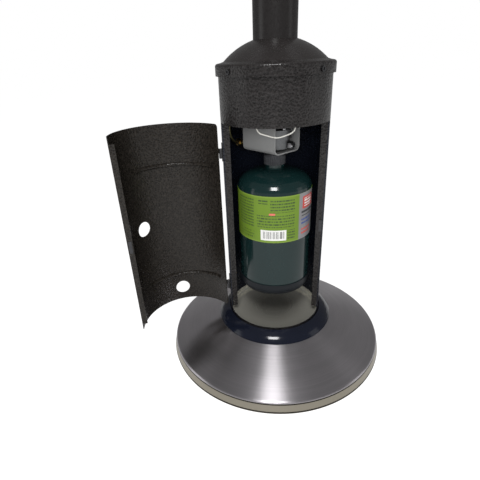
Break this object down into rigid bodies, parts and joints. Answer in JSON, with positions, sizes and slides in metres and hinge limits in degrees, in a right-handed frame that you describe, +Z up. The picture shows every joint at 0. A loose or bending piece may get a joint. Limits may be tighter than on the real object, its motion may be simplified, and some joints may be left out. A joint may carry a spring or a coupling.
{
  "type": "portable propane heater",
  "caption": "Portable propane heater: weighted round base, cylinder housing with a hinged door, pole, burner head and dish reflector, shown with the door open.",
  "frame": {"origin": "centre of the base, on the surface that the heater stands on", "axes": "+Z up along the pole; -Y is the front, where the housing opens and the knob sits; the door hinge is on the -X side"},
  "size_m": [0.5, 0.5, 0.8837],
  "materials": {
    "bronze_paint": "hammered bronze powder coat, semi-gloss",
    "brushed_stainless": "spun and brushed stainless steel",
    "polished_steel": "bright polished steel",
    "black_enamel": "gloss black enamel",
    "zinc_steel": "bright zinc plated steel",
    "dark_steel": "dark plated steel",
    "cast_ballast": "rough cast",
    "rubber_black": "matt",
    "bracket_grey": "light grey paint, satin",
    "diecast_grey": "sand cast and tumbled",
    "nut_grey": "grey plated, knurled",
    "brass": "turned brass",
    "tube_metal": "drawn tube, dulled",
    "cylinder_green": "dark green enamel, gloss",
    "cup_plastic": "dark plastic",
    "label_print": "printed film",
    "white_plastic": "matt",
    "lead_white": "insulated wire",
    "lead_red": "silicone sleeved wire",
    "black_plastic": "fine textured",
    "red_plastic": "moulded",
    "spring_steel": "bright wire",
    "burner_steel": "heat resisting steel, lightly tinted",
    "emitter_steel": "perforated stainless steel",
    "ceramic": "glazed ceramic",
    "reflector_alu": "spun and brushed aluminium"
  },
  "bodies": {
    "heater": {"feet": "rubber_black", "base_plate": "dark_steel", "ballast": "cast_ballast", "base_cover": "brushed_stainless", "collar_ring": "black_enamel", "floor_pan": "polished_steel", "base_bolts": "zinc_steel", "housing_shell": "bronze_paint", "housing_lid": "bronze_paint", "lid_screws": "dark_steel", "support_plate": "zinc_steel", "pole": "bronze_paint", "pole_flanges": "bronze_paint", "pole_bolts": "zinc_steel", "housing_hinge_leaves": "dark_steel", "hinge_pins": "zinc_steel", "door_magnet": "dark_steel", "regulator_bracket": "bracket_grey", "bracket_bolts": "zinc_steel", "regulator_body": "diecast_grey", "regulator_cover": "diecast_grey", "cover_screws": "zinc_steel", "relief_valve": "zinc_steel", "inlet_nut": "nut_grey", "inlet_seal": "rubber_black", "outlet_fitting": "brass", "flare_nut": "brass", "gas_tube": "tube_metal", "tilt_switch": "white_plastic", "tilt_lead": "lead_white", "head_drum": "bronze_paint", "control_panel": "bronze_paint", "gas_valve": "diecast_grey", "valve_nut": "brass", "stem_spring": "spring_steel", "igniter_body": "black_plastic", "igniter_spring": "spring_steel", "igniter_lead": "lead_red", "mixer_tube": "burner_steel", "heat_shield": "burner_steel", "burner": "burner_steel", "pilot_burner": "burner_steel", "thermocouple": "burner_steel", "ignition_electrode": "ceramic", "emitter_screen": "emitter_steel", "emitter_cap": "emitter_steel", "reflector_posts": "zinc_steel", "reflector": "reflector_alu", "wing_nuts": "zinc_steel"},
    "door": {"door_panel": "bronze_paint", "door_hinge_leaves": "dark_steel", "door_strike": "dark_steel"},
    "stem_slide": {"stem_collar": "zinc_steel"},
    "knob": {"control_knob": "black_plastic", "valve_stem": "zinc_steel"},
    "igniter": {"igniter_button": "red_plastic"},
    "gas_cylinder": {"cylinder_body": "cylinder_green", "cylinder_cup": "cup_plastic", "cylinder_label": "label_print", "cylinder_valve": "cylinder_green"}
  },
  "joints": [
    {"name": "door_hinge", "type": "hinge", "parent": "heater", "child": "door", "pos_m": [-0.06742, -0.01919, 0.2015], "axis": [0, 0, 1], "range_deg": [-26, 152]},
    {"name": "cylinder_turn", "type": "hinge", "parent": "heater", "child": "gas_cylinder", "pos_m": [0, 0, 0.285], "axis": [0, 0, 1], "range_deg": [-1620, 0]},
    {"name": "knob_push", "type": "slide", "parent": "heater", "child": "stem_slide", "axis": [0, 1, 0], "range_m": [0, 0.005], "stiffness_N_per_m": 800, "springref_m": -0.003, "deforming": ["stem_spring"]},
    {"name": "knob_turn", "type": "hinge", "parent": "stem_slide", "child": "knob", "pos_m": [0, -0.08, 0.6759], "axis": [0, -1, 0], "range_deg": [0, 210]},
    {"name": "igniter_push", "type": "slide", "parent": "heater", "child": "igniter", "axis": [0, 1, 0], "range_m": [0, 0.006], "stiffness_N_per_m": 1500, "springref_m": -0.003, "deforming": ["igniter_spring"]}
  ]
}
